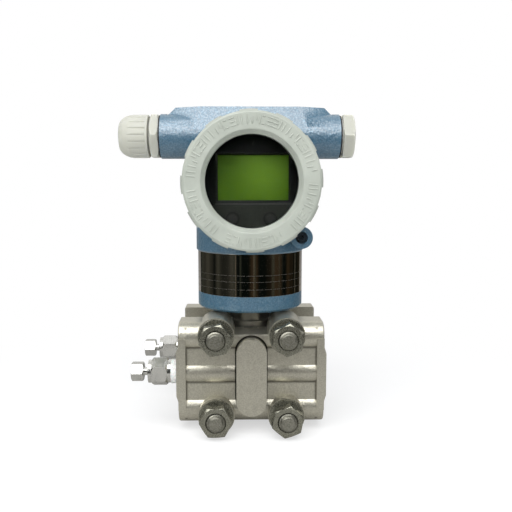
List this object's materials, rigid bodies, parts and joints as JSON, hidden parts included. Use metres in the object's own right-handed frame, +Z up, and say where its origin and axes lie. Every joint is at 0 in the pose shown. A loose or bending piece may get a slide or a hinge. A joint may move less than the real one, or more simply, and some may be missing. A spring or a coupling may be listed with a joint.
{
  "type": "differential pressure transmitter",
  "caption": "Differential pressure transmitter with cast process flanges bolted round a sensor neck, turning two-compartment housing, windowed display cover, cable gland and blanking plug.",
  "frame": {"origin": "on the neck's vertical axis, in the plane that the lower flange bosses stand on", "axes": "+Z up the neck, -Y out of the display cover, +X towards the process ports, -X towards the vent valves and the cable gland"},
  "size_m": [0.1378, 0.1002, 0.1847],
  "materials": {
    "cast_stainless": "fine sand-blasted stainless casting, warm grey",
    "bolt_steel": "turned stainless steel",
    "nut_steel": "stainless steel with a fine blasted grain",
    "module_steel": "turned stainless steel",
    "ptfe": "white fluoropolymer",
    "diaphragm_steel": "thin bright stainless sheet",
    "vent_steel": "polished stainless steel",
    "housing_paint": "steel-blue textured enamel with light flecks",
    "screw_steel": "stainless steel",
    "nameplate_steel": "thin polished stainless sheet",
    "cover_paint": "pale grey-green semi-gloss enamel",
    "seal_rubber": "black sealing rubber",
    "window_glass": "clear toughened glass",
    "glass_ring_aluminium": "plain turned aluminium",
    "bezel_plastic": "black moulded plastic",
    "lcd": "green reflective liquid-crystal panel",
    "button_plastic": "dark moulded plastic",
    "circuit_board": "green solder resist",
    "post_brass": "plain turned brass",
    "terminal_plastic": "black moulded plastic",
    "terminal_brass": "nickel-plated brass",
    "gland_nylon": "off-white nylon"
  },
  "bodies": {
    "sensor": {"front_flange": "cast_stainless", "rear_flange": "cast_stainless", "flange_bolts": "bolt_steel", "flange_nuts": "nut_steel", "flange_washers": "nut_steel", "sensor_module": "module_steel", "front_gasket": "ptfe", "rear_gasket": "ptfe", "front_diaphragm": "diaphragm_steel", "rear_diaphragm": "diaphragm_steel", "front_vent_body": "vent_steel", "rear_vent_body": "vent_steel", "thread_tapes": "ptfe"},
    "housing": {"housing_casting": "housing_paint", "lug_screw": "screw_steel", "neck_lock_screw": "screw_steel", "nameplate_band": "nameplate_steel", "display_bezel": "bezel_plastic", "display_board": "circuit_board", "lcd_panel": "lcd", "main_board": "circuit_board", "board_posts": "post_brass", "display_posts": "post_brass", "terminal_block": "terminal_plastic", "terminal_screws": "terminal_brass", "ground_screw": "terminal_brass", "gland_body": "gland_nylon", "gland_washer": "seal_rubber", "conduit_plug": "gland_nylon", "plug_washer": "seal_rubber"},
    "front_cover_ring": {"front_cover_seal": "seal_rubber"},
    "front_cover": {"front_cover": "cover_paint", "window_gasket": "seal_rubber", "window_glass": "window_glass", "glass_ring": "glass_ring_aluminium"},
    "rear_cover_ring": {"rear_cover_seal": "seal_rubber"},
    "rear_cover": {"rear_cover": "cover_paint"},
    "front_vent_tip": {"front_vent_ball": "vent_steel"},
    "front_vent_stem": {"front_vent_stem": "vent_steel"},
    "rear_vent_tip": {"rear_vent_ball": "vent_steel"},
    "rear_vent_stem": {"rear_vent_stem": "vent_steel"},
    "gland_insert": {"gland_seal": "seal_rubber"},
    "gland_cap": {"gland_cap": "gland_nylon"},
    "left_button": {"left_button": "button_plastic"},
    "right_button": {"right_button": "button_plastic"}
  },
  "joints": [
    {"name": "housing_turn", "type": "hinge", "parent": "sensor", "child": "housing", "pos_m": [0, 0, 0.0673], "axis": [0, 0, 1], "range_deg": [-180, 180]},
    {"name": "front_cover_travel", "type": "slide", "parent": "housing", "child": "front_cover_ring", "axis": [0, -1, 0], "range_m": [0, 0.008]},
    {"name": "front_cover_turn", "type": "hinge", "parent": "front_cover_ring", "child": "front_cover", "pos_m": [0, 0, 0.1409], "axis": [0, -1, 0], "range_deg": [0, 1440]},
    {"name": "rear_cover_travel", "type": "slide", "parent": "housing", "child": "rear_cover_ring", "axis": [0, 1, 0], "range_m": [0, 0.008]},
    {"name": "rear_cover_turn", "type": "hinge", "parent": "rear_cover_ring", "child": "rear_cover", "pos_m": [0, 0, 0.1409], "axis": [0, 1, 0], "range_deg": [0, 1440]},
    {"name": "front_vent_travel", "type": "slide", "parent": "sensor", "child": "front_vent_tip", "axis": [-1, 0, 0], "range_m": [0, 0.003]},
    {"name": "front_vent_turn", "type": "hinge", "parent": "front_vent_tip", "child": "front_vent_stem", "pos_m": [0, -0.027, 0.0331], "axis": [-1, 0, 0], "range_deg": [0, 1080]},
    {"name": "rear_vent_travel", "type": "slide", "parent": "sensor", "child": "rear_vent_tip", "axis": [-1, 0, 0], "range_m": [0, 0.003]},
    {"name": "rear_vent_turn", "type": "hinge", "parent": "rear_vent_tip", "child": "rear_vent_stem", "pos_m": [0, 0.027, 0.0331], "axis": [-1, 0, 0], "range_deg": [0, 1080]},
    {"name": "gland_cap_travel", "type": "slide", "parent": "housing", "child": "gland_insert", "axis": [-1, 0, 0], "range_m": [0, 0.006]},
    {"name": "gland_cap_turn", "type": "hinge", "parent": "gland_insert", "child": "gland_cap", "pos_m": [0, 0, 0.168], "axis": [-1, 0, 0], "range_deg": [0, 1440]},
    {"name": "left_button_press", "type": "slide", "parent": "housing", "child": "left_button", "axis": [0, 1, 0], "range_m": [0, 0.0005], "stiffness_N_per_m": 400},
    {"name": "right_button_press", "type": "slide", "parent": "housing", "child": "right_button", "axis": [0, 1, 0], "range_m": [0, 0.0005], "stiffness_N_per_m": 400}
  ],
  "couplings": [
    {"joint": "front_cover_travel", "follows": "front_cover_turn", "m_per_rad": 0.00031831},
    {"joint": "rear_cover_travel", "follows": "rear_cover_turn", "m_per_rad": 0.00031831},
    {"joint": "front_vent_turn", "follows": "front_vent_travel", "rad_per_m": 6283.2},
    {"joint": "rear_vent_turn", "follows": "rear_vent_travel", "rad_per_m": 6283.2},
    {"joint": "gland_cap_travel", "follows": "gland_cap_turn", "m_per_rad": 0.00023873}
  ]
}
